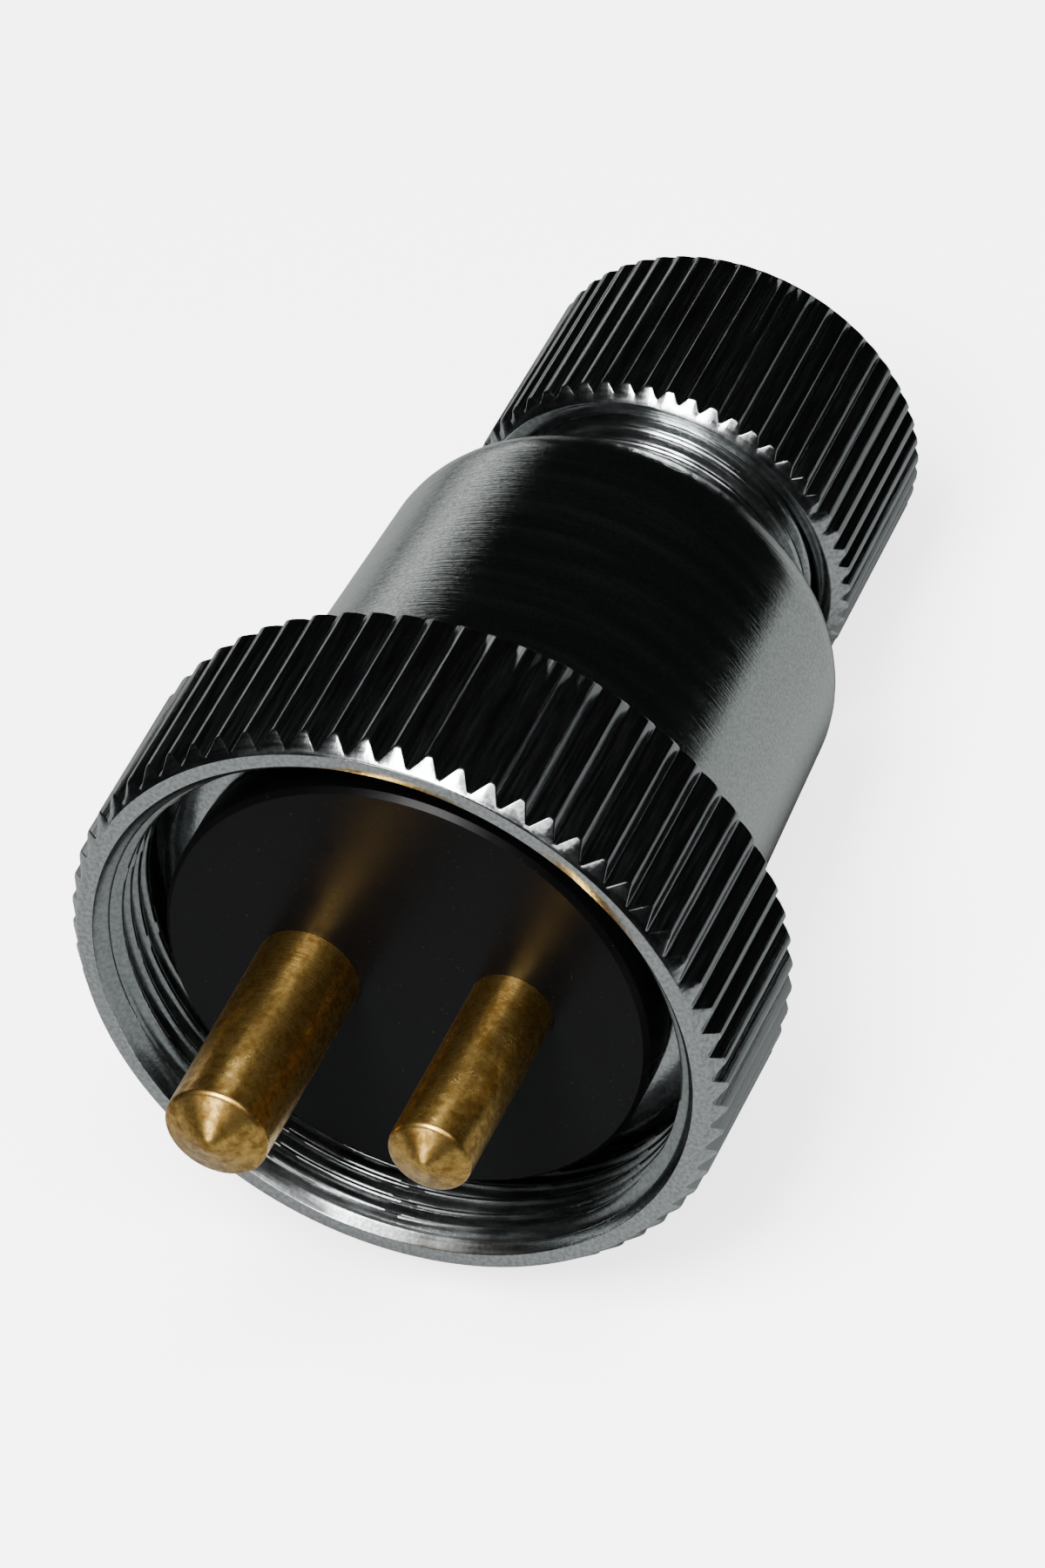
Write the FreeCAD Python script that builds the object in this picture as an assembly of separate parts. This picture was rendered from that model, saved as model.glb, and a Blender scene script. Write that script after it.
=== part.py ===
"""Two-contact circular cable plug, the pin half of a screw-coupled power connector.

Every piece is turned or built about a working axis Z that runs from the mating face (Z = 0) to the
cable end, and is then laid along +Y, so the contacts point to -Y and +Z is up. Sizes in millimetres.
"""
import FreeCAD, Part
import math
import os

from FreeCAD import Vector

# ---------------------------------------------------------------- driving dimensions
NUT_TIP_R = 16.0            # coupling nut, over the tips of the knurl
NUT_LENGTH = 9.6
PIN_LARGE_R = 2.5
PIN_SMALL_R = 2.0
PIN_SPACING = 10.0          # between the two contact axes
PIN_LARGE_REACH = 9.2       # contacts' straight stretch in front of the mating face
PIN_SMALL_REACH = 8.3
BARREL_REAR_Y = 30.1        # end of the barrel's round shoulder
GLAND_NUT_Y = 33.5          # front face of the gland nut
GLAND_NUT_LENGTH = 11.1
GLAND_NUT_R = 9.5           # over the tips, half way along
CABLE_R = 4.5               # cable that the rubber seal grips
THREAD_PITCH = 1.0          # coupling thread and gland thread

# ---------------------------------------------------------------- clearances
RUN_CLEAR = 0.08            # radial, turning fit of the coupling nut on its sleeve
SIDE_CLEAR = 0.05           # axial, between faces of different bodies at rest
THREAD_CLEAR = 0.10         # axial, flank to flank in the gland thread
FREE_CLEAR = 0.3            # radial, between moving pieces that are not a fit

# ---------------------------------------------------------------- shared sizes
FLANK = math.tan(math.radians(30.0))
BORE_THREAD_CREST_R = NUT_TIP_R - 2.3
BORE_THREAD_ROOT_R = BORE_THREAD_CREST_R + 0.6
FLANGE_R = BORE_THREAD_CREST_R - 0.6
FLANGE_Y = 4.8
FLANGE_BACK_Y = FLANGE_Y + 1.6
SLEEVE_R = 11.2
TAIL_R = SLEEVE_R - 0.7
TAIL_END_Y = 16.0
SHELL_BORE_R = 9.0
SLIP_RING_THICK = 0.5
SLIP_RING_Y = FLANGE_BACK_Y + SIDE_CLEAR
LIP_Y = SLIP_RING_Y + SLIP_RING_THICK + SIDE_CLEAR
LIP_THICK = 1.3
LIP_BORE_R = SLEEVE_R + RUN_CLEAR
NUT_FLOAT = 0.8             # how far the coupling nut slides back
BARREL_Y = LIP_Y + LIP_THICK + NUT_FLOAT
BARREL_FRONT_R = 12.2
BARREL_BACK_R = 11.4
SHOULDER_R = 3.5
CAVITY_FRONT_R = 10.4
CAVITY_R = 9.8
CAVITY_END_Y = 26.8

INSERT_FACE_Y = 1.8
INSERT_DISC_R = FLANGE_R - 1.3
INSERT_BODY_R = SHELL_BORE_R
INSERT_BODY_END_Y = 12.0
INSERT_BOSS_R = 8.0
INSERT_END_Y = 19.0
GASKET_THICK = 0.4
RING_NUT_R = 9.9
RING_NUT_THICK = 2.2
RING_WASHER_THICK = 0.5

NECK_R = 7.75               # crest of the neck's thread
NECK_ROOT_R = NECK_R - 0.55
NECK_THREAD_Y = BARREL_REAR_Y + 0.6
NECK_END_Y = GLAND_NUT_Y + 4.8
NECK_BORE_R = CABLE_R + 0.8
SEAL_SEAT_R = 6.3
SEAL_SEAT_Y = BARREL_REAR_Y + 1.5
GLAND_WASHER_THICK = 0.5
SEAL_END_Y = NECK_END_Y + 0.3
GLAND_SHOULDER_Y = GLAND_NUT_Y + 7.3
GLAND_TAPER = 0.06          # tip radius gained to the front and lost to the rear
CABLE_HOLE_R = CABLE_R + 0.5


# ---------------------------------------------------------------- helpers
def turned(outline):
    """A solid of revolution about Z; each item is a corner (r, z) or an arc (r_mid, z_mid, r, z)."""
    edges = []
    start = Vector(outline[0][0], 0, outline[0][1])
    here = start
    for item in outline[1:] + [outline[0]]:
        there = Vector(item[-2], 0, item[-1])
        if len(item) == 4:
            middle = Vector(item[0], 0, item[1])
            edges.append(Part.Arc(here, middle, there).toShape())
        elif here.distanceToPoint(there) > 1e-6:
            edges.append(Part.makeLine(here, there))
        here = there
    face = Part.Face(Part.Wire(edges))
    return face.revolve(Vector(0, 0, 0), Vector(0, 0, 1), 360)


def tube(inner_r, outer_r, z_low, z_high):
    """A plain ring between two radii and two heights."""
    return turned([(inner_r, z_low), (outer_r, z_low), (outer_r, z_high), (inner_r, z_high)])


def rod(radius, z_low, z_high, x=0.0, y=0.0):
    """A plain cylinder along Z."""
    return Part.makeCylinder(radius, z_high - z_low, Vector(x, y, z_low))


def knurl_outline(tip_r, depth, count, tip_flat, root_flat, z):
    """A closed star with one flat-topped tooth and one flat-bottomed groove per pitch."""
    half_tip = tip_flat / 2 / tip_r
    half_root = root_flat / 2 / tip_r
    pitch = 2 * math.pi / count
    points = []
    for tooth in range(count):
        middle = tooth * pitch
        groove = middle + pitch / 2
        for radius, angle in ((tip_r, middle - half_tip), (tip_r, middle + half_tip),
                              (tip_r - depth, groove - half_root), (tip_r - depth, groove + half_root)):
            points.append(Vector(radius * math.cos(angle), radius * math.sin(angle), z))
    return Part.makePolygon(points + [points[0]])


def knurled(blank, tip_r, depth, count, tip_flat, root_flat, z_low, z_high):
    """The blank, with straight teeth cut along its whole outer wall."""
    star = Part.Face(knurl_outline(tip_r, depth, count, tip_flat, root_flat, z_low))
    return blank.common(star.extrude(Vector(0, 0, z_high - z_low)))


def thread_ridge(root_r, crest_r, root_half, crest_half, phase, z_low, z_high):
    """A right-hand helical ridge, sunk a little into the wall it stands on and cut off square.

    At angle 0 its middle lies at phase plus a whole number of pitches.
    """
    sink = 0.05 if crest_r > root_r else -0.05
    first = phase + THREAD_PITCH * math.floor((z_low - phase) / THREAD_PITCH - 1)
    turns = math.ceil((z_high - first) / THREAD_PITCH + 1)
    path = Part.makeHelix(THREAD_PITCH, turns * THREAD_PITCH, root_r)
    sunk_half = root_half + abs(sink) * (root_half - crest_half) / abs(crest_r - root_r)
    corners = [Vector(root_r - sink, 0, -sunk_half), Vector(crest_r, 0, -crest_half),
               Vector(crest_r, 0, crest_half), Vector(root_r - sink, 0, sunk_half)]
    section = Part.makePolygon(corners + [corners[0]])
    ridge = Part.Wire(path).makePipeShell([section], True, True)
    ridge.translate(Vector(0, 0, first))
    return ridge.common(rod(2 * root_r, z_low, z_high))


def lay_and_save(shape, node):
    """Turn the working axis Z onto +Y and write the node's file."""
    shape = shape.copy()
    shape.rotate(Vector(0, 0, 0), Vector(1, 0, 0), -90)
    if not shape.isValid():
        raise ValueError("bad solid: " + node)
    shape.exportStep("parts/" + node + ".step")
    print(node, len(shape.Solids), round(shape.Volume, 1))


# ---------------------------------------------------------------- coupling nut and what holds it
def coupling_nut():
    """Knurled ring with a chamfered edge, an internal thread and an inner lip at the back."""
    knurl_depth = 0.5
    knurl_count = 66
    tip_flat = 0.25
    root_flat = 0.2
    front_chamfer = 0.65
    front_chamfer_run = 0.9
    rear_chamfer = 0.4
    mouth_r = BORE_THREAD_ROOT_R + 0.3
    relief_r = BORE_THREAD_ROOT_R + 0.1
    thread_end = FLANGE_Y + 0.4
    back_recess_r = BARREL_FRONT_R + FREE_CLEAR
    lip_back = LIP_Y + LIP_THICK
    blank = turned([
        (mouth_r, 0), (NUT_TIP_R - front_chamfer, 0), (NUT_TIP_R, front_chamfer_run),
        (NUT_TIP_R, NUT_LENGTH - rear_chamfer), (NUT_TIP_R - rear_chamfer, NUT_LENGTH),
        (back_recess_r, NUT_LENGTH), (back_recess_r, lip_back), (LIP_BORE_R, lip_back),
        (LIP_BORE_R, LIP_Y), (relief_r, LIP_Y), (relief_r, thread_end),
        (BORE_THREAD_ROOT_R, thread_end), (BORE_THREAD_ROOT_R, mouth_r - BORE_THREAD_ROOT_R)])
    ring = knurled(blank, NUT_TIP_R, knurl_depth, knurl_count, tip_flat, root_flat, 0, NUT_LENGTH)
    ridge = thread_ridge(BORE_THREAD_ROOT_R, BORE_THREAD_CREST_R, 0.43, 0.08, 0.0, 0.8, thread_end)
    return ring.fuse(ridge)


def coupling_slip_ring():
    """Thin brass ring that lets the nut turn against the shell's flange."""
    return tube(SLEEVE_R + RUN_CLEAR, FLANGE_R, SLIP_RING_Y, SLIP_RING_Y + SLIP_RING_THICK)


def plug_shell():
    """Front shell: flange, plain sleeve for the nut, tail for the barrel, and a grooved seat."""
    groove_y = BARREL_Y + 0.5
    shell = turned([
        (SHELL_BORE_R, FLANGE_Y), (FLANGE_R, FLANGE_Y), (FLANGE_R, FLANGE_BACK_Y),
        (SLEEVE_R, FLANGE_BACK_Y), (SLEEVE_R, BARREL_Y), (TAIL_R, BARREL_Y),
        (TAIL_R, groove_y), (TAIL_R - 0.6, groove_y), (TAIL_R - 0.6, groove_y + 1.0),
        (TAIL_R, groove_y + 1.0), (TAIL_R, TAIL_END_Y), (SHELL_BORE_R, TAIL_END_Y)])
    return shell.cut(locating_pin())


def shell_o_ring():
    """Rubber ring in the shell's groove, squeezed by the barrel."""
    groove_y = BARREL_Y + 0.5
    return tube(TAIL_R - 0.6, TAIL_R, groove_y, groove_y + 1.0)


def locating_pin():
    """Small dowel that stops the insert turning in the shell."""
    return rod(0.7, FLANGE_Y - 1.0, FLANGE_Y + 1.0, 0, 10.3)


# ---------------------------------------------------------------- insert and contacts
# The contacts' outer sides stand equally far from the plug's axis.
PIN_OFFSET = (PIN_LARGE_R - PIN_SMALL_R) / 2
LARGE = {"x": PIN_OFFSET - PIN_SPACING / 2, "r": PIN_LARGE_R, "reach": PIN_LARGE_REACH,
         "shank": 2.0, "flats": 7.0, "nut": 3.2, "tag_r": 3.4}
SMALL = {"x": PIN_OFFSET + PIN_SPACING / 2, "r": PIN_SMALL_R, "reach": PIN_SMALL_REACH,
         "shank": 1.5, "flats": 5.5, "nut": 2.4, "tag_r": 2.8}
TAG_THICK = 0.6
WASHER_THICK = 0.8
COLLAR_Y = INSERT_FACE_Y + 0.05
COLLAR_END_Y = COLLAR_Y + 2.2
COLLAR_STEP = 0.6


def contact_pin(size):
    """Turned contact with a conical nose, a collar inside the insert and a threaded shank."""
    nose_half = math.radians(67)
    tip_r = 0.25
    nose = (size["r"] - tip_r) / math.tan(nose_half)
    end = INSERT_END_Y + TAG_THICK + WASHER_THICK + size["nut"] + 1.2
    pin = turned([
        (0, -size["reach"] - nose), (tip_r, -size["reach"] - nose), (size["r"], -size["reach"]),
        (size["r"], COLLAR_Y), (size["r"] + COLLAR_STEP, COLLAR_Y),
        (size["r"] + COLLAR_STEP, COLLAR_END_Y), (size["shank"], COLLAR_END_Y),
        (size["shank"], end - 0.4), (size["shank"] - 0.4, end), (0, end)])
    pin.translate(Vector(size["x"], 0, 0))
    return pin


def contact_insert():
    """Moulded disc and body round the two contacts, with a boss for the ring nut."""
    front_edge = 0.25
    insert = turned([
        (0, INSERT_FACE_Y), (INSERT_DISC_R - front_edge, INSERT_FACE_Y),
        (INSERT_DISC_R, INSERT_FACE_Y + front_edge), (INSERT_DISC_R, FLANGE_Y - GASKET_THICK),
        (INSERT_BODY_R, FLANGE_Y - GASKET_THICK), (INSERT_BODY_R, INSERT_BODY_END_Y),
        (INSERT_BOSS_R, INSERT_BODY_END_Y), (INSERT_BOSS_R, INSERT_END_Y), (0, INSERT_END_Y)])
    for cutter in (contact_pin(LARGE), contact_pin(SMALL), locating_pin()):
        insert = insert.cut(cutter)
    return insert


def face_gasket():
    """Rubber washer between the insert's disc and the shell's flange."""
    gasket = tube(INSERT_BODY_R, INSERT_DISC_R - 0.1, FLANGE_Y - GASKET_THICK, FLANGE_Y)
    return gasket.cut(locating_pin())


def insert_washer():
    """Thin washer between the ring nut and the end of the shell."""
    return tube(INSERT_BOSS_R, RING_NUT_R, TAIL_END_Y, TAIL_END_Y + RING_WASHER_THICK)


def insert_ring_nut():
    """Round nut with four spanner slots that clamps the insert in the shell."""
    low = TAIL_END_Y + RING_WASHER_THICK
    ring = tube(INSERT_BOSS_R, RING_NUT_R, low, low + RING_NUT_THICK)
    slot_width = 2.0
    slot_depth = 0.8
    for quarter in range(4):
        slot = Part.makeBox(slot_depth + 1, slot_width, 1.0,
                            Vector(RING_NUT_R - slot_depth, -slot_width / 2, low + RING_NUT_THICK - 1.0))
        slot.rotate(Vector(0, 0, 0), Vector(0, 0, 1), 45 + 90 * quarter)
        ring = ring.cut(slot)
    return ring


def solder_tag(size):
    """Ring tag with a bent tail that carries the wire's hole."""
    width = 2.4
    tail_length = 5.5
    nut_corner_r = size["flats"] / 2 / math.cos(math.pi / 6)
    bend_y = nut_corner_r + TAG_THICK + 0.3
    low = INSERT_END_Y
    tag = tube(size["shank"], size["tag_r"], low, low + TAG_THICK)
    arm = Part.makeBox(width, bend_y - size["shank"] - 0.3, TAG_THICK,
                       Vector(-width / 2, size["shank"] + 0.3, low))
    tail = Part.makeBox(width, TAG_THICK, tail_length, Vector(-width / 2, bend_y - TAG_THICK, low))
    hole = Part.makeCylinder(0.7, 2, Vector(0, bend_y - 1, low + tail_length - 1.4), Vector(0, 1, 0))
    tag = tag.fuse(arm).fuse(tail).cut(hole).removeSplitter()
    tag.translate(Vector(size["x"], 0, 0))
    return tag


def lock_washer(size):
    """Split spring washer, drawn flat as it lies when tightened."""
    low = INSERT_END_Y + TAG_THICK
    washer = tube(size["shank"], size["shank"] + 1.1, low, low + WASHER_THICK)
    split = Part.makeBox(3, 0.4, 2, Vector(size["shank"] - 0.5, -0.2, low - 0.5))
    washer = washer.cut(split)
    washer.translate(Vector(size["x"], 0, 0))
    return washer


def pin_nut(size):
    """Hexagon nut on the contact's shank, flats facing the barrel's wall."""
    low = INSERT_END_Y + TAG_THICK + WASHER_THICK
    corner_r = size["flats"] / 2 / math.cos(math.pi / 6)
    corners = [Vector(corner_r * math.cos(math.pi / 6 + k * math.pi / 3),
                      corner_r * math.sin(math.pi / 6 + k * math.pi / 3), low) for k in range(6)]
    face = Part.Face(Part.makePolygon(corners + [corners[0]]))
    nut = face.extrude(Vector(0, 0, size["nut"])).cut(rod(size["shank"], low - 1, low + 9))
    nut.translate(Vector(size["x"], 0, 0))
    return nut


def insulating_sleeve():
    """Thin plastic tube that lines the barrel round the wire ends."""
    return tube(CAVITY_R - 0.6, CAVITY_R, INSERT_END_Y + 0.4, CAVITY_END_Y - 0.4)


# ---------------------------------------------------------------- barrel and cable gland
def backshell():
    """Tapered barrel with a quarter-round shoulder and a threaded neck."""
    neck_start_r = BARREL_BACK_R - SHOULDER_R
    shoulder_y = BARREL_REAR_Y - SHOULDER_R
    diagonal = SHOULDER_R * math.cos(math.pi / 4)
    body = turned([
        (TAIL_R, BARREL_Y), (BARREL_FRONT_R - 0.1, BARREL_Y), (BARREL_FRONT_R, BARREL_Y + 0.1),
        (BARREL_BACK_R, shoulder_y),
        (neck_start_r + diagonal, shoulder_y + diagonal, neck_start_r, BARREL_REAR_Y),
        (NECK_ROOT_R - 0.1, BARREL_REAR_Y), (NECK_ROOT_R - 0.1, NECK_THREAD_Y),
        (NECK_ROOT_R, NECK_THREAD_Y), (NECK_ROOT_R, NECK_END_Y - 0.2),
        (NECK_ROOT_R - 0.2, NECK_END_Y), (SEAL_SEAT_R, NECK_END_Y), (SEAL_SEAT_R, SEAL_SEAT_Y),
        (NECK_BORE_R, SEAL_SEAT_Y), (NECK_BORE_R, CAVITY_END_Y + 2.4), (CAVITY_R, CAVITY_END_Y),
        (CAVITY_R, INSERT_END_Y), (CAVITY_FRONT_R, INSERT_END_Y), (CAVITY_FRONT_R, TAIL_END_Y),
        (TAIL_R, TAIL_END_Y)])
    ridge = thread_ridge(NECK_ROOT_R, NECK_R, 0.42, 0.1, 0.0, NECK_THREAD_Y, NECK_END_Y - 0.3)
    return body.fuse(ridge)


def gland_front_washer():
    """Washer at the bottom of the seal's seat."""
    return tube(NECK_BORE_R, SEAL_SEAT_R, SEAL_SEAT_Y, SEAL_SEAT_Y + GLAND_WASHER_THICK)


def gland_seal():
    """Rubber bush squeezed round the cable."""
    low = SEAL_SEAT_Y + GLAND_WASHER_THICK
    return turned([(CABLE_R + 0.3, low), (SEAL_SEAT_R, low), (SEAL_SEAT_R, NECK_END_Y - 0.4),
                   (SEAL_SEAT_R - 0.3, SEAL_END_Y), (CABLE_R + 0.3, SEAL_END_Y),
                   (CABLE_R, SEAL_END_Y - 0.5), (CABLE_R, low + 0.5)])


def gland_thrust_ring():
    """Metal ring that presses the seal and does not turn with the nut."""
    return tube(CABLE_HOLE_R + 0.2, SEAL_SEAT_R - FREE_CLEAR, SEAL_END_Y + SIDE_CLEAR,
                GLAND_SHOULDER_Y - SIDE_CLEAR)


def gland_nut():
    """Knurled nut with a slight taper, an internal thread and the cable's hole."""
    knurl_depth = 0.34
    knurl_count = 54
    tip_flat = 0.36
    root_flat = 0.1
    front_chamfer = 0.7
    rear_chamfer = 0.55
    rear = GLAND_NUT_Y + GLAND_NUT_LENGTH
    wall_r = NECK_R + 0.2
    front_r = GLAND_NUT_R + GLAND_TAPER
    rear_r = GLAND_NUT_R - GLAND_TAPER
    blank = turned([
        (wall_r + 0.3, GLAND_NUT_Y), (front_r - front_chamfer, GLAND_NUT_Y),
        (front_r, GLAND_NUT_Y + front_chamfer), (rear_r + 0.02, rear - rear_chamfer),
        (rear_r - rear_chamfer, rear), (CABLE_HOLE_R + 0.8, rear),
        (CABLE_HOLE_R, rear - 0.5), (CABLE_HOLE_R, GLAND_SHOULDER_Y), (wall_r, GLAND_SHOULDER_Y),
        (wall_r, GLAND_NUT_Y + 0.3)])
    nut = knurled(blank, front_r, knurl_depth, knurl_count, tip_flat, root_flat, GLAND_NUT_Y, rear)
    # The ridge lies half a pitch from the neck's ridge, with THREAD_CLEAR left at both flanks.
    crest_r = NECK_R - 0.35
    crest_half = THREAD_PITCH / 2 - (0.42 - (crest_r - NECK_ROOT_R) * FLANK) - THREAD_CLEAR
    root_half = crest_half + (wall_r - crest_r) * FLANK
    thread_end = GLAND_SHOULDER_Y - 1.5
    ridge = thread_ridge(wall_r, crest_r, root_half, crest_half, THREAD_PITCH / 2,
                         GLAND_NUT_Y + 0.3, thread_end)
    return nut.fuse(ridge)


# ---------------------------------------------------------------- write every node
NODES = {
    "coupling_nut": coupling_nut,
    "coupling_slip_ring": coupling_slip_ring,
    "plug_shell": plug_shell,
    "shell_o_ring": shell_o_ring,
    "locating_pin": locating_pin,
    "contact_insert": contact_insert,
    "face_gasket": face_gasket,
    "insert_washer": insert_washer,
    "insert_ring_nut": insert_ring_nut,
    "insulating_sleeve": insulating_sleeve,
    "backshell": backshell,
    "gland_front_washer": gland_front_washer,
    "gland_seal": gland_seal,
    "gland_thrust_ring": gland_thrust_ring,
    "gland_nut": gland_nut,
}
PER_CONTACT = {"contact_pin": contact_pin, "solder_tag": solder_tag, "lock_washer": lock_washer,
               "pin_nut": pin_nut}

os.makedirs("parts", exist_ok=True)
for node_name, make in NODES.items():
    lay_and_save(make(), node_name)
for stem, make in PER_CONTACT.items():
    lay_and_save(make(LARGE), stem + "_large")
    lay_and_save(make(SMALL), stem + "_small")
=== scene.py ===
import math

import bmesh
import bpy
import numpy as np
from mathutils import Matrix, Vector


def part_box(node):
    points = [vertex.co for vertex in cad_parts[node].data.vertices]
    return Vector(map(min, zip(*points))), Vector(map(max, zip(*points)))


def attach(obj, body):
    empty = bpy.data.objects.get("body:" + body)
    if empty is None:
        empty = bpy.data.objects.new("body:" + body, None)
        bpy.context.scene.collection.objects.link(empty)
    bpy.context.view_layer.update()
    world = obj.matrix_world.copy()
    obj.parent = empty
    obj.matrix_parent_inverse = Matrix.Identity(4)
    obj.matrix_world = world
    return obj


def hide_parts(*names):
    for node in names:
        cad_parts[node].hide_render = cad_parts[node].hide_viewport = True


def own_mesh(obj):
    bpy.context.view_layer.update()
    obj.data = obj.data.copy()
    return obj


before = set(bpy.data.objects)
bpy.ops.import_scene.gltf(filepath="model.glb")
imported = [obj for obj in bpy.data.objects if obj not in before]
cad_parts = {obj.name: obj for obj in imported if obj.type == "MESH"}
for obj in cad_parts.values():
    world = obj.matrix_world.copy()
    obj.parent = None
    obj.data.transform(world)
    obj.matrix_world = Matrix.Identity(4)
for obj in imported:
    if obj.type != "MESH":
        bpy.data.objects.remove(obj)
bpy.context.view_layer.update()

MM = 0.001


# ---------------------------------------------------------------- sizes in mm, from the frame
def low(node):
    """Lowest corner of a CAD node in mm."""
    return np.array(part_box(node)[0]) / MM


def high(node):
    """Highest corner of a CAD node in mm."""
    return np.array(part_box(node)[1]) / MM


def outer_radius(node):
    """Half of a CAD node's width over the plug's axis, in mm."""
    return (high(node)[0] - low(node)[0]) / 2


def span(node):
    """Where a CAD node starts and ends along the plug's axis, in mm."""
    return low(node)[1], high(node)[1]


# Clearance between pieces that face each other.
GAP = 0.05
# Both threads have the same pitch, and the coupling's is this deep.
THREAD_PITCH = 1.0
THREAD_DEPTH = 0.6

# Coupling nut. The share of a pitch at the tooth's tip and root is the width of its flats.
NUT_R = outer_radius("coupling_nut")
NUT_TEETH = 66
NUT_TOOTH = 0.5
NUT_TIP_SHARE = 0.17
NUT_ROOT_SHARE = 0.13
NUT_CHAMFER = 0.65
NUT_CHAMFER_RUN = 0.9
NUT_REAR_CHAMFER = 0.4
NUT_THREAD_START = 0.35
NUT_LIP_R = 11.28
NUT_LIP_THICK = 1.3
NUT_RECESS_R = 12.5
THREAD_CREST_R = 13.7

# Gland nut. It tapers a little towards the cable.
GLAND_R = 9.56
GLAND_TAPER = 0.12
GLAND_TEETH = 54
GLAND_TOOTH = 0.34
GLAND_TIP_SHARE = 0.33
GLAND_ROOT_SHARE = 0.09
GLAND_CHAMFER = 0.7
GLAND_REAR_CHAMFER = 0.55
GLAND_THREAD_DEPTH = 0.52
CABLE_R = 4.5
CABLE_HOLE_R = 5.0

# Barrel and neck.
BARREL_FRONT_R = 12.2
BARREL_BACK_R = 11.4
SHOULDER_R = 3.5
RELIEF_R = 0.35
NECK_LENGTH = 8.2
NECK_CREST_R = 7.75
NECK_DEPTH = 0.55
NECK_BORE_R = 5.3
SEAL_SEAT_R = 6.3
CAVITY_R = 9.8
SHELL_SEAT_R = 10.4
SHELL_SEAT_END = 19.0
MOUTH_BORE_R = 10.5
MOUTH_BORE_END = 16.0

# Front shell.
SHELL_BORE_R = 9.0
SLEEVE_R = 11.2
GROOVE_R = 9.9

# Contacts. The nose is a cone with a small flat at its tip.
NOSE_HALF_ANGLE = math.radians(67)
NOSE_FLAT_R = 0.25
COLLAR_STEP = 0.6
COLLAR_LENGTH = 2.2


# ---------------------------------------------------------------- meshes
def skin(name, points, closed_rows, node, body, materials, row_materials=None,
         sharp=40.0):
    """A surface from a grid of points (rows, columns, 3), joined round its columns.

    Row i and row i + 1 are joined by quads, and the last row meets the first when closed_rows.
    """
    rows, columns = points.shape[:2]
    index = np.arange(rows * columns).reshape(rows, columns)
    lower = index if closed_rows else index[:-1]
    upper = np.roll(index, -1, axis=0) if closed_rows else index[1:]
    quads = np.stack([lower, np.roll(lower, -1, axis=1), np.roll(upper, -1, axis=1), upper],
                     axis=-1)
    mesh = bpy.data.meshes.new(name)
    mesh.from_pydata((points.reshape(-1, 3) * MM).tolist(), [], quads.reshape(-1, 4).tolist())
    for material in materials:
        mesh.materials.append(material)
    if row_materials is not None:
        chosen = np.repeat(np.asarray(row_materials)[:len(lower)], columns)
        mesh.polygons.foreach_set("material_index", chosen.astype(np.int32))
    return finish_piece(name, mesh, node, body, sharp)


def finish_piece(name, mesh, node, body, sharp):
    """Point the faces outwards, shade smooth up to the sharp angle, and ride on the body."""
    same_place = 1e-7
    shell = bmesh.new()
    shell.from_mesh(mesh)
    bmesh.ops.remove_doubles(shell, verts=shell.verts, dist=same_place)
    bmesh.ops.dissolve_degenerate(shell, edges=shell.edges, dist=same_place)
    bmesh.ops.recalc_face_normals(shell, faces=shell.faces)
    shell.to_mesh(mesh)
    shell.free()
    mesh.shade_smooth()
    mesh.set_sharp_from_angle(angle=math.radians(sharp))
    piece = bpy.data.objects.new(name, mesh)
    bpy.context.scene.collection.objects.link(piece)
    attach(piece, body)
    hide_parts(node)
    return piece


def soft_corners(corners, ease, steps=3):
    """A closed outline with each corner eased into a short curve.

    corners has the shape (corner, column, 2) with radius and place along the axis. Each corner
    becomes the quadratic curve from a point `ease` before it to one `ease` after it, and takes
    at most most_of_side of the side that it shares with the next corner.
    """
    most_of_side = 0.45
    before = np.roll(corners, 1, axis=0) - corners
    after = np.roll(corners, -1, axis=0) - corners
    eased = []
    for middle, back, ahead, amount in zip(corners, before, after, ease):
        back_length = np.linalg.norm(back, axis=-1, keepdims=True) + 1e-9
        ahead_length = np.linalg.norm(ahead, axis=-1, keepdims=True) + 1e-9
        start = middle + back * np.minimum(amount / back_length, most_of_side)
        end = middle + ahead * np.minimum(amount / ahead_length, most_of_side)
        for t in np.linspace(0, 1, steps):
            eased.append((1 - t) ** 2 * start + 2 * t * (1 - t) * middle + t ** 2 * end)
    return np.array(eased)


def around(profile, angles):
    """Points of a profile (rows, columns, 2) carried round +Y: x = r cos a, z = r sin a."""
    radius, along = profile[..., 0], profile[..., 1]
    return np.stack([radius * np.cos(angles), along, radius * np.sin(angles)], axis=-1)


def even_angles(columns):
    """Angles at even steps round the full circle."""
    return np.arange(columns) * 2 * math.pi / columns


def columns_of(values, count):
    """A list of (radius, place) pairs, numbers or arrays, as an outline over all columns."""
    return np.array([[np.broadcast_to(r, count), np.broadcast_to(y, count)]
                     for r, y in values]).transpose(0, 2, 1)


def turned_piece(node, corners, ease, body, material, columns=160):
    """A turned ring: a closed outline of corners (radius, place) carried round the axis."""
    profile = soft_corners(columns_of(corners, columns), np.full(len(corners), ease))
    return skin("fine_" + node, around(profile, even_angles(columns)), True, node,
                body, [material])


def plain_ring(node, inner_r, ease, material_slot, body, material):
    """A washer, gasket or liner: the CAD node's width and place, with eased edges."""
    start, end = span(node)
    outer = outer_radius(node)
    return turned_piece(node, [(inner_r, start), (outer, start), (outer, end), (inner_r, end)],
                        ease, body, material)


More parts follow.
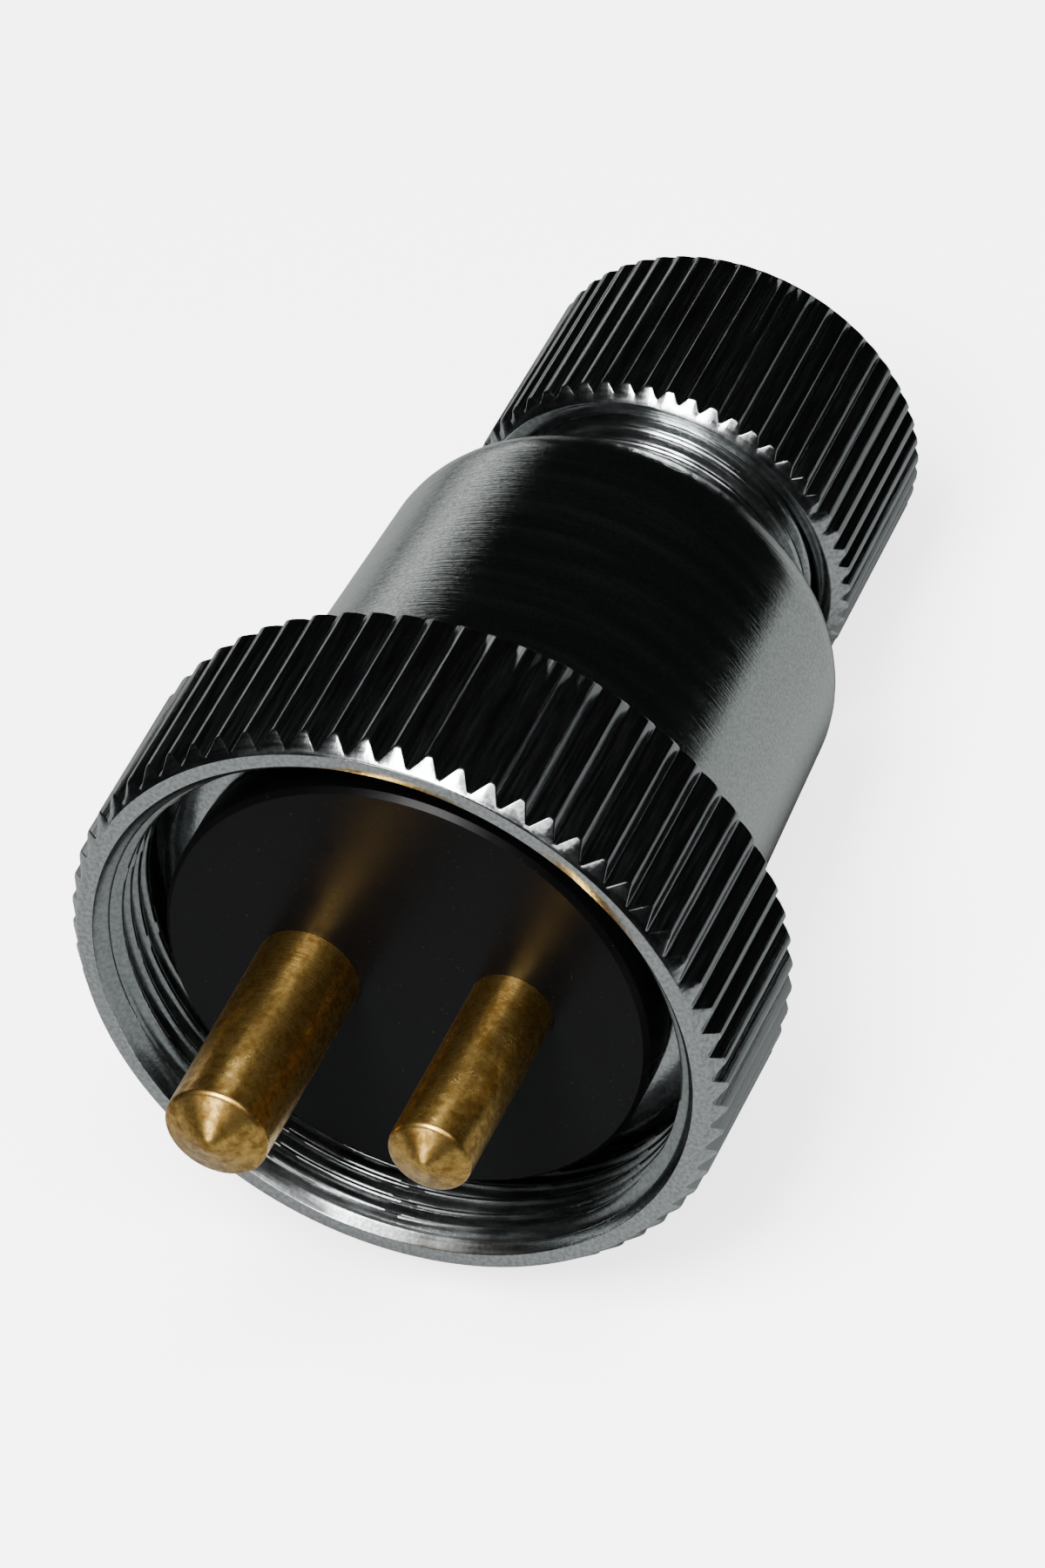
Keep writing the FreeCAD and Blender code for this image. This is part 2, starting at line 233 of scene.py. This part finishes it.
def knurl_columns(teeth, tip_r, depth, tip_share, root_share):
    """Angles and radii of the columns of a knurl with flat tips, straight flanks and flat roots.

    Over one pitch the radius stays at the tip for tip_share, falls in a straight flank, stays at
    the root for root_share and rises again; the bends are eased over `eased` of a pitch.
    """
    eased = 0.022
    tip, root = tip_share / 2, 0.5 - root_share / 2
    half = np.array([0.0, tip - eased, tip - eased * 0.2, tip + eased, (tip + root) / 2,
                     root - eased, root + eased * 0.5])
    fall = np.array([0.0, 0.0, 0.03, eased / (root - tip), 0.5, 1 - eased / (root - tip), 1.0])
    share = np.concatenate([half, [0.5], 1 - half[:0:-1]])
    drop = np.concatenate([fall, [1.0], fall[:0:-1]])
    angles = ((np.arange(teeth)[:, None] + share) * 2 * math.pi / teeth).ravel()
    radii = np.tile(tip_r - depth * drop, teeth)
    return angles, radii


def thread_wave(angles, along, half_crest, half_root):
    """Height from 0 at the root to 1 at the crest of a right-hand thread.

    The distance to the nearest crest is that of along minus pitch times the turns made; the
    height falls in a straight flank between half_crest and half_root, with eased ends.
    """
    turns = angles / (2 * math.pi)
    phase = (along / THREAD_PITCH - turns + 0.5) % 1.0 - 0.5
    flank = np.clip((np.abs(phase) - half_crest) / (half_root - half_crest), 0, 1)
    return 1 - flank * flank * (3 - 2 * flank) * 0.5 - flank * 0.5


def thread_rows(angles, places, fade, root_r, height, half_crest, half_root, turn=0.0):
    """Rows of a thread: radius = root_r + height * thread_wave * fade, at each row's place.

    The height is below 0 where the thread's crests point inwards, and fade is each row's share
    of it. The thread starts turned back by the angle `turn`.
    """
    wave = thread_wave(angles[None, :] + turn, places[:, None], half_crest, half_root)
    return np.stack([root_r + height * wave * fade[:, None],
                     np.broadcast_to(places[:, None], wave.shape)], axis=-1)


# ---------------------------------------------------------------- colours and material nodes
def colour(hex_value):
    """sRGB hex to linear RGBA."""
    channels = [int(hex_value[i:i + 2], 16) / 255 for i in (1, 3, 5)]
    return [c / 12.92 if c <= 0.04045 else ((c + 0.055) / 1.055) ** 2.4 for c in channels] + [1.0]


def new_tree(owner):
    """The emptied node tree of a material or a world."""
    owner.use_nodes = True
    owner.node_tree.nodes.clear()
    return owner.node_tree


def add(tree, kind, inputs=None, **settings):
    """Add a node with its settings; an input that is given an output is linked, others are set."""
    node = tree.nodes.new(kind)
    for key, value in settings.items():
        setattr(node, key, value)
    for key, value in (inputs or {}).items():
        if isinstance(value, bpy.types.NodeSocket):
            tree.links.new(value, node.inputs[key])
        else:
            node.inputs[key].default_value = value
    return node


def surface(name, grains, tones, gloss, relief, constants):
    """A material whose colour, roughness and relief follow the grains of its surface.

    grains are noises, each (waves per mm along x, y and z, detail, roughness of the noise).
    tones is (grain, start, end, dark, light): as the grain goes from start to end, the colour
    goes from dark to light. gloss is the same with two roughnesses. relief lists (grain, depth
    in mm), each laid over the one before. constants are the shader's other inputs.
    """
    material = bpy.data.materials.new(name)
    tree = new_tree(material)
    place = add(tree, "ShaderNodeTexCoord").outputs["Object"]
    level = {}
    for key, (waves, detail, roughness) in grains.items():
        fitted = add(tree, "ShaderNodeMapping",
                     {"Vector": place, "Scale": [wave / MM for wave in waves]})
        noise = add(tree, "ShaderNodeTexNoise", {
            "Vector": fitted.outputs["Vector"], "Scale": 1.0, "Detail": detail,
            "Roughness": roughness})
        level[key] = noise.outputs["Fac"]
    grain, start, end, dark, light = tones
    shade = add(tree, "ShaderNodeMapRange",
                {"Value": level[grain], "From Min": start, "From Max": end})
    # Inputs 0, 6 and 7 of a colour mix are its factor and its two colours.
    tint = add(tree, "ShaderNodeMix", {0: shade.outputs["Result"], 6: colour(dark),
                                       7: colour(light)}, data_type="RGBA")
    grain, start, end, smooth, rough = gloss
    sheen = add(tree, "ShaderNodeMapRange", {
        "Value": level[grain], "From Min": start, "From Max": end, "To Min": smooth,
        "To Max": rough})
    under = {}
    for grain, depth in relief:
        bump = add(tree, "ShaderNodeBump", {
            "Height": level[grain], "Strength": 1.0, "Distance": depth * MM, **under})
        under = {"Normal": bump.outputs["Normal"]}
    shader = add(tree, "ShaderNodeBsdfPrincipled", {
        "Base Color": tint.outputs[2], "Roughness": sheen.outputs["Result"], **under,
        **constants})
    add(tree, "ShaderNodeOutputMaterial", {"Surface": shader.outputs["BSDF"]})
    return material


def every_way(waves):
    """The same number of waves per mm along each axis."""
    return (waves, waves, waves)


def black_chrome_turned(name, dark, light, smooth, rough):
    """Black chrome on turned brass: a dark mirror with faint rings, 0.2 mm apart, and specks.

    The specks of the plating are finer than this, and are drawn 0.2 mm wide so that they show.
    """
    return surface(
        name,
        {"rings": ((0.45, 4.8, 0.45), 4.0, 0.5), "speck": (every_way(5.0), 2.0, 0.5)},
        ("speck", 0.35, 0.65, dark, light), ("rings", 0.3, 0.7, smooth, rough),
        [("speck", 0.004), ("rings", 0.004)], {"Metallic": 1.0})


def black_chrome_knurled():
    """Black chrome on a rolled knurl: the roller leaves streaks 0.1 mm wide along each tooth."""
    return surface(
        "black_chrome_knurled",
        {"streaks": ((9.0, 0.36, 9.0), 4.0, 0.6), "cloud": (every_way(0.6), 3.0, 0.5)},
        ("cloud", 0.0, 1.0, "#7C7F80", "#8C8F8F"), ("streaks", 0.3, 0.7, 0.11, 0.24),
        [("streaks", 0.012)], {"Metallic": 1.0})


def satin_black_plate():
    """Black nickel on brass brushed while it turned: lines 0.1 mm apart round the barrel.

    The brush also leaves broad bands, about 0.8 mm wide, where the sheen differs a little.
    """
    return surface(
        "satin_black_plate",
        {"lines": ((0.216, 9.6, 0.216), 4.0, 0.6), "broad": ((0.112, 1.26, 0.112), 2.0, 0.5),
         "speck": (every_way(7.0), 2.0, 0.5)},
        ("speck", 0.35, 0.65, "#9CA2A0", "#B8BEBB"), ("broad", 0.3, 0.7, 0.10, 0.17),
        [("speck", 0.004), ("lines", 0.016)], {"Metallic": 1.0})


def moulded_insert():
    """Black phenolic, compression moulded: a glossy skin that waves over 2 mm, and some dust."""
    return surface(
        "moulded_black_phenolic",
        {"skin": (every_way(0.5), 2.0, 0.5), "dust": (every_way(9.0), 1.0, 0.5)},
        ("dust", 0.74, 0.80, "#070708", "#343331"), ("skin", 0.3, 0.7, 0.26, 0.34),
        [("skin", 0.01)], {"IOR": 1.5, "Specular IOR Level": 0.09})


def contact_brass():
    """Bare turned brass, handled and tarnished: satin with fine rings and 0.6 mm brown patches."""
    return surface(
        "turned_contact_brass",
        {"rings": ((0.96, 8.4, 0.96), 3.0, 0.5), "tarnish": ((1.8, 1.44, 1.8), 8.0, 0.72)},
        ("tarnish", 0.40, 0.62, "#8A672F", "#CFA95E"), ("tarnish", 0.35, 0.7, 0.34, 0.25),
        [("tarnish", 0.009), ("rings", 0.012)], {"Metallic": 1.0})


def plain_finish(name, dark, light, metallic, smooth, rough):
    """A simple finish, mottled over about 1 mm in colour and sheen, with a slight relief."""
    return surface(
        name, {"mottle": (every_way(0.8), 4.0, 0.5)}, ("mottle", 0.0, 1.0, dark, light),
        ("mottle", 0.3, 0.7, smooth, rough), [("mottle", 0.01)], {"Metallic": metallic})


CHROME_TURNED = black_chrome_turned("black_chrome_turned", "#94979A", "#B8BBBA", 0.12, 0.22)
# The bores' chrome is a darker copy of the turned chrome: painted shade for the threaded recesses.
CHROME_SHADED_BORE = black_chrome_turned("black_chrome_shaded_bore", "#808484", "#969A9A", 0.16, 0.28)
CHROME_KNURLED = black_chrome_knurled()
BARREL_PLATE = satin_black_plate()
INSERT_PHENOLIC = moulded_insert()
PIN_BRASS = contact_brass()
# Stamped and turned brass straight from the tool: brighter than the contacts.
PLAIN_BRASS = plain_finish("plain_brass", "#B8954F", "#D3B36A", 1.0, 0.22, 0.34)
# Zinc plated steel: bluish grey with a fine crystalline mottle.
ZINC_STEEL = plain_finish("zinc_plated_steel", "#A3A8AC", "#C2C6C8", 1.0, 0.28, 0.42)
# Moulded nitrile rubber: matt with a slight bloom.
NITRILE = plain_finish("moulded_nitrile_rubber", "#141414", "#222222", 0.0, 0.62, 0.78)
# Natural polyamide liner: milky and slightly waxy.
POLYAMIDE = plain_finish("natural_polyamide", "#C9C5B8", "#DAD7CC", 0.0, 0.42, 0.55)


# ---------------------------------------------------------------- nuts
def knurled_nut(node, body, knurl, tip_rear, chamfer, run, rear_chamfer, inside, thread_start,
                thread_end, rows_per_turn, thread):
    """A knurled ring with a chamfered front edge and a threaded bore.

    Each column's outer wall starts where the tooth's radius meets the chamfer's cone, so the
    chamfer runs out over the teeth in a zigzag. The bore's rows are a thread that fades in
    behind thread_start.
    """
    start, end = span(node)
    tip_front = knurl["tip_r"]
    angles, radii = knurl_columns(**knurl)
    rear_radii = radii * tip_rear / tip_front
    front_cone_r = tip_front - chamfer
    rear_cone_r = tip_rear - rear_chamfer
    mouth_r = inside[-1][0]
    outer = columns_of([
        (mouth_r, start), (front_cone_r, start),
        (radii, start + (radii - front_cone_r) * run / chamfer),
        (rear_radii, end - np.maximum(rear_radii - rear_cone_r, 0)),
        (np.minimum(rear_radii, rear_cone_r), end)] + inside[:-1], len(angles))
    ease = np.full(len(outer), 0.06)
    # The teeth's ends, corners 2 and 3, are rounder than the turned edges.
    ease[2:4] = 0.11
    places = np.arange(thread_end, thread_start, -THREAD_PITCH / rows_per_turn)
    fade = np.clip((places - thread_start) / 0.5, 0, 1)
    bore = thread_rows(angles, places, fade, **thread)
    profile = np.concatenate([soft_corners(outer, ease), bore])
    # Materials by row: 0 turned, 1 along the teeth, 2 in the thread, in a darker chrome that paints
    # shade into the bore. Each corner makes 3 rows, and the teeth run from the middle of corner 2
    # to the middle of corner 3.
    finishes = np.zeros(len(profile), int)
    finishes[7:10] = 1
    finishes[-len(places):] = 2
    return skin("fine_" + node, around(profile, angles), True, node, body,
                [CHROME_TURNED, CHROME_KNURLED, CHROME_SHADED_BORE], finishes, sharp=50)


def coupling_nut():
    """The large nut: threaded mouth, inner lip and a recess that covers the barrel's front."""
    end = span("coupling_nut")[1]
    lip_front = span("coupling_slip_ring")[1] + GAP
    lip_back = lip_front + NUT_LIP_THICK
    root_r = THREAD_CREST_R + THREAD_DEPTH
    relief_r, mouth_r = root_r + 0.1, root_r + 0.3
    relief = span("plug_shell")[0] + 0.4
    inside = [(NUT_RECESS_R, end), (NUT_RECESS_R, lip_back), (NUT_LIP_R, lip_back),
              (NUT_LIP_R, lip_front), (relief_r, lip_front), (relief_r, relief), (mouth_r, 0)]
    return knurled_nut(
        "coupling_nut", "coupling_nut_body",
        {"teeth": NUT_TEETH, "tip_r": NUT_R, "depth": NUT_TOOTH, "tip_share": NUT_TIP_SHARE,
         "root_share": NUT_ROOT_SHARE},
        NUT_R, NUT_CHAMFER, NUT_CHAMFER_RUN, NUT_REAR_CHAMFER, inside,
        NUT_THREAD_START, relief - GAP, 14,
        {"root_r": root_r, "height": -THREAD_DEPTH, "half_crest": 0.08, "half_root": 0.43})


def gland_nut():
    """The small nut at the cable end, with its shoulder and cable hole."""
    start, end = span("gland_nut")
    wall_r = NECK_CREST_R + 0.2
    shoulder = span("gland_thrust_ring")[1] + GAP
    inside = [(CABLE_HOLE_R + 0.8, end), (CABLE_HOLE_R, end - 0.5), (CABLE_HOLE_R, shoulder),
              (wall_r, shoulder), (wall_r, shoulder - 1.45), (wall_r + 0.3, start)]
    return knurled_nut(
        "gland_nut", "gland_nut_body",
        {"teeth": GLAND_TEETH, "tip_r": GLAND_R, "depth": GLAND_TOOTH,
         "tip_share": GLAND_TIP_SHARE, "root_share": GLAND_ROOT_SHARE},
        GLAND_R - GLAND_TAPER, GLAND_CHAMFER, GLAND_CHAMFER, GLAND_REAR_CHAMFER, inside,
        start + 0.3, shoulder - 1.5, 10,
        {"root_r": wall_r, "height": -GLAND_THREAD_DEPTH, "half_crest": 0.1, "half_root": 0.4,
         "turn": math.pi})


# ---------------------------------------------------------------- barrel
def barrel_outline(start, shoulder_end, root_r):
    """Outside of the barrel: a straight taper, a quarter circle and a small round relief."""
    edge = 0.1
    taper = np.linspace(0, 1, 8)
    quarter = np.linspace(0, math.pi / 2, 14)
    half = np.linspace(0, math.pi, 7)
    round_start = shoulder_end - SHOULDER_R
    outline = [(BARREL_FRONT_R - edge, start)]
    outline += [(BARREL_FRONT_R + (BARREL_BACK_R - BARREL_FRONT_R) * t,
                 start + edge + (round_start - start - edge) * t) for t in taper]
    outline += [(BARREL_BACK_R - SHOULDER_R + SHOULDER_R * math.cos(a),
                 round_start + SHOULDER_R * math.sin(a)) for a in quarter[1:]]
    outline += [(root_r + 0.2 - RELIEF_R * math.sin(a), shoulder_end + RELIEF_R - 0.3 * math.cos(a))
                for a in half]
    return outline


def backshell():
    """Tapered barrel, quarter-round shoulder, relief and threaded neck, with its bore.

    The outline runs back along the outside and forward along the inside.
    """
    start, neck_end = span("backshell")
    columns = 288
    angles = even_angles(columns)
    shoulder_end = neck_end - NECK_LENGTH
    root_r = NECK_CREST_R - NECK_DEPTH
    barrel = barrel_outline(start, shoulder_end, root_r)
    places = np.arange(shoulder_end + 0.7, neck_end - 0.15, THREAD_PITCH / 16)
    fade_in = np.clip((places - places[0]) / 0.4, 0, 1)
    fade_out = np.clip((places[-1] - places) / 0.5, 0, 1)
    neck = thread_rows(angles, places, fade_in * fade_out, root_r, NECK_DEPTH, 0.09, 0.42)
    seat = span("gland_front_washer")[0]
    cavity_end = span("insulating_sleeve")[1] + 0.4
    inside = [(root_r - 0.15, neck_end), (SEAL_SEAT_R + 0.1, neck_end),
              (SEAL_SEAT_R, neck_end - 0.1), (SEAL_SEAT_R, seat), (NECK_BORE_R, seat),
              (NECK_BORE_R, cavity_end + 2.4), (CAVITY_R, cavity_end), (CAVITY_R, SHELL_SEAT_END),
              (SHELL_SEAT_R, SHELL_SEAT_END), (SHELL_SEAT_R, MOUTH_BORE_END),
              (MOUTH_BORE_R, MOUTH_BORE_END), (MOUTH_BORE_R, start)]
    profile = np.concatenate([columns_of(barrel, columns), neck, columns_of(inside, columns)])
    # Materials by row: 0 brushed barrel, 1 bright from the relief on.
    finishes = np.zeros(len(profile), int)
    finishes[len(barrel) - 5:] = 1
    return skin("fine_backshell", around(profile, angles), True, "backshell",
                "plug_body", [BARREL_PLATE, CHROME_TURNED], finishes, sharp=50)


def plug_shell():
    """Flange, sleeve and grooved tail of the front shell."""
    start, end = span("plug_shell")
    flange_back = span("coupling_slip_ring")[0] - GAP
    flange_r = outer_radius("plug_shell")
    groove_front, groove_back = span("shell_o_ring")
    barrel = span("backshell")[0]
    corners = [(SHELL_BORE_R, start), (flange_r, start), (flange_r, flange_back),
               (SLEEVE_R, flange_back), (SLEEVE_R, barrel), (MOUTH_BORE_R, barrel),
               (MOUTH_BORE_R, groove_front), (GROOVE_R, groove_front), (GROOVE_R, groove_back),
               (MOUTH_BORE_R, groove_back), (MOUTH_BORE_R, end), (SHELL_BORE_R, end)]
    return turned_piece("plug_shell", corners, 0.08, "plug_body",
                        CHROME_TURNED)


# ---------------------------------------------------------------- contacts and insert
def contact(node, shank_r):
    """Turned contact: coned nose with an eased tip and rim, plain pin, collar, shank."""
    start, end = span(node)
    centre_x = (low(node)[0] + high(node)[0]) / 2
    collar_r = outer_radius(node)
    pin_r = collar_r - COLLAR_STEP
    nose = (pin_r - NOSE_FLAT_R) / math.tan(NOSE_HALF_ANGLE)
    collar = span("contact_insert")[0] + GAP
    collar_end = collar + COLLAR_LENGTH
    shank_chamfer = 0.4
    corners = [(0.0, start), (NOSE_FLAT_R, start), (pin_r, start + nose), (pin_r, collar),
               (collar_r, collar), (collar_r, collar_end), (shank_r, collar_end),
               (shank_r, end - shank_chamfer), (shank_r - shank_chamfer, end), (0.0, end)]
    columns = 96
    ease = np.array([0, 0.3, 0.22] + [0.05] * 6 + [0])
    points = around(soft_corners(columns_of(corners, columns), ease, 6), even_angles(columns))
    points[..., 0] += centre_x
    return skin("fine_" + node, points, False, node, "plug_body", [PIN_BRASS])


coupling_nut()
gland_nut()
backshell()
plug_shell()
contact("contact_pin_large", 2.0)
contact("contact_pin_small", 1.5)

RINGS = [
    # node, inner radius, eased edge, slot, body, material
    ("coupling_slip_ring", NUT_LIP_R, 0.08, "plain_brass", "slip_ring", PLAIN_BRASS),
    ("face_gasket", SHELL_BORE_R, 0.1, "rubber", "plug_body", NITRILE),
    ("insert_washer", 8.0, 0.08, "steel", "plug_body", ZINC_STEEL),
    ("shell_o_ring", GROOVE_R, 0.45, "rubber", "plug_body", NITRILE),
    ("insulating_sleeve", 9.2, 0.1, "liner_plastic", "plug_body", POLYAMIDE),
    ("gland_front_washer", NECK_BORE_R, 0.08, "steel", "plug_body", ZINC_STEEL),
    ("gland_seal", CABLE_R, 0.3, "rubber", "plug_body", NITRILE),
    ("gland_thrust_ring", CABLE_HOLE_R + 0.2, 0.12, "steel", "thrust_ring", ZINC_STEEL),
]
for ring in RINGS:
    plain_ring(*ring)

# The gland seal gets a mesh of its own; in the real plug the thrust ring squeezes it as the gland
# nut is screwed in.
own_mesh(bpy.data.objects["fine_gland_seal"])

CAD_FINISH = {
    "contact_insert": INSERT_PHENOLIC, "locating_pin": ZINC_STEEL, "insert_ring_nut": PLAIN_BRASS,
    "solder_tag_large": PLAIN_BRASS, "solder_tag_small": PLAIN_BRASS,
    "lock_washer_large": ZINC_STEEL, "lock_washer_small": ZINC_STEEL,
    "pin_nut_large": PLAIN_BRASS, "pin_nut_small": PLAIN_BRASS,
}
for node_name, finish_material in CAD_FINISH.items():
    piece_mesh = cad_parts[node_name].data
    piece_mesh.materials.clear()
    piece_mesh.materials.append(finish_material)


# ---------------------------------------------------------------- floor, light and camera
def show_to_camera_only(tree, seen, otherwise):
    """One shader for what the camera sees, and another for reflections and fill light."""
    path = add(tree, "ShaderNodeLightPath")
    mixed = add(tree, "ShaderNodeMixShader", {
        0: path.outputs["Is Camera Ray"], 1: otherwise.outputs[0], 2: seen.outputs[0]})
    return mixed.outputs[0]


def pale_card():
    """White card: it shows pale, and is held down in reflections as a studio flag would."""
    material = bpy.data.materials.new("pale_card")
    tree = new_tree(material)
    card = add(tree, "ShaderNodeBsdfPrincipled", {
        "Base Color": colour("#FAFAF8"), "Roughness": 0.9, "Emission Color": colour("#FFFFFF"),
        "Emission Strength": 3.0})
    flagged = add(tree, "ShaderNodeBsdfDiffuse", {"Color": colour("#747676")})
    add(tree, "ShaderNodeOutputMaterial", {"Surface": show_to_camera_only(tree, card, flagged)})
    return material


def studio_floor():
    """A pale board that the plug lies on, touching the coupling nut's rim and the gland nut's."""
    front = np.array([span("coupling_nut")[1], -NUT_R])
    rear = np.array([span("gland_nut")[1] - 0.5, -GLAND_R + 0.1])
    slope = (rear - front) / np.linalg.norm(rear - front)
    half_width, reach_front, reach_back = 130.0, 150.0, 75.0
    corners = []
    for x, reach in ((-half_width, -reach_front), (half_width, -reach_front),
                     (half_width, reach_back), (-half_width, reach_back)):
        y, z = front + slope * reach
        corners.append((x * MM, y * MM, z * MM))
    mesh = bpy.data.meshes.new("floor")
    mesh.from_pydata(corners, [], [(0, 1, 2, 3)])
    mesh.materials.append(pale_card())
    floor = bpy.data.objects.new("floor", mesh)
    bpy.context.scene.collection.objects.link(floor)


def soft_box(name, direction, width, height, power):
    """A rectangular soft light, sizes in mm and power in watts, that faces the plug."""
    distance = 420 * MM
    aim = Vector((0, 18, 0)) * MM
    light = bpy.data.lights.new(name, "AREA")
    light.shape = "RECTANGLE"
    light.size = width * MM
    light.size_y = height * MM
    light.energy = power
    holder = bpy.data.objects.new(name, light)
    holder.location = aim + Vector(direction).normalized() * distance
    holder.rotation_euler = (aim - holder.location).to_track_quat("-Z", "Y").to_euler()
    bpy.context.scene.collection.objects.link(holder)


def studio_world():
    """Pale to the camera, and a dim room to reflections and fill light."""
    world = bpy.data.worlds.new("studio")
    bpy.context.scene.world = world
    tree = new_tree(world)
    room = add(tree, "ShaderNodeBackground", {"Color": colour("#3A3B3D"), "Strength": 0.22})
    pale = add(tree, "ShaderNodeBackground", {"Color": colour("#FFFFFF"), "Strength": 2.6})
    add(tree, "ShaderNodeOutputWorld", {"Surface": show_to_camera_only(tree, pale, room)})


def camera():
    """A long lens that looks down on the mouth, a little rolled."""
    forward = Vector((-0.354, 0.674, -0.649)).normalized()
    right = Vector((0.9225, 0.366, -0.123))
    right = (right - forward * right.dot(forward)).normalized()
    up = right.cross(forward)
    aim = Vector((3.9, 8.9, 7.1)) * MM
    distance = 471.7 * MM
    lens = bpy.data.cameras.new("camera")
    lens.lens = 240.0
    lens.sensor_width = 36.0
    lens.clip_start = 0.01
    eye = bpy.data.objects.new("camera", lens)
    turn = Matrix((right, up, -forward)).transposed()
    eye.matrix_world = Matrix.Translation(aim - forward * distance) @ turn.to_4x4()
    bpy.context.scene.collection.objects.link(eye)
    bpy.context.scene.camera = eye


studio_floor()
LIGHTS = [
    # name, direction from the plug, width, height, power
    ("key_above_front", (0.0, -0.53, 0.85), 165, 250, 6.2),
    ("top_right", (0.25, -0.22, 0.94), 100, 100, 0.7),
    ("fill_right", (0.52, -0.33, 0.76), 220, 170, 0.34),
    ("low_left", (-0.72, 0.67, 0.16), 240, 110, 0.10),
    ("front_spark", (-0.24, -0.96, 0.06), 60, 60, 0.3),
]
for light_box in LIGHTS:
    soft_box(*light_box)
studio_world()
camera()
